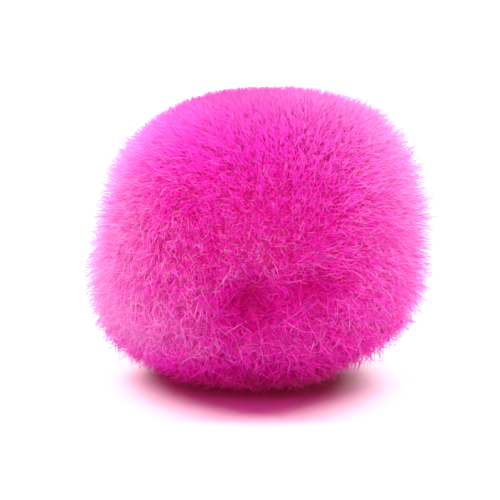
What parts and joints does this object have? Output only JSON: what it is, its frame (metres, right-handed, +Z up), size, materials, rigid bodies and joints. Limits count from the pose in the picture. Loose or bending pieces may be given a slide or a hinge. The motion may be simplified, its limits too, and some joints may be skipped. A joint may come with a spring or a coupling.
{
  "type": "yarn pom pom",
  "caption": "Fluffy craft pom pom: a trimmed ball of opened acrylic yarn, slightly uneven, lying on a small flattened underside.",
  "frame": {"origin": "centre of the bounding box's bottom face, on the surface that the pom pom rests on", "axes": "+X to the right along the widest side, +Y away from the front, +Z up"},
  "size_m": [0.025, 0.0242, 0.0216],
  "materials": {
    "pile": "soft, matt, saturated pink acrylic fibre with pale, see-through tips"
  },
  "bodies": {
    "root": {"pompom": "pile"}
  },
  "joints": []
}
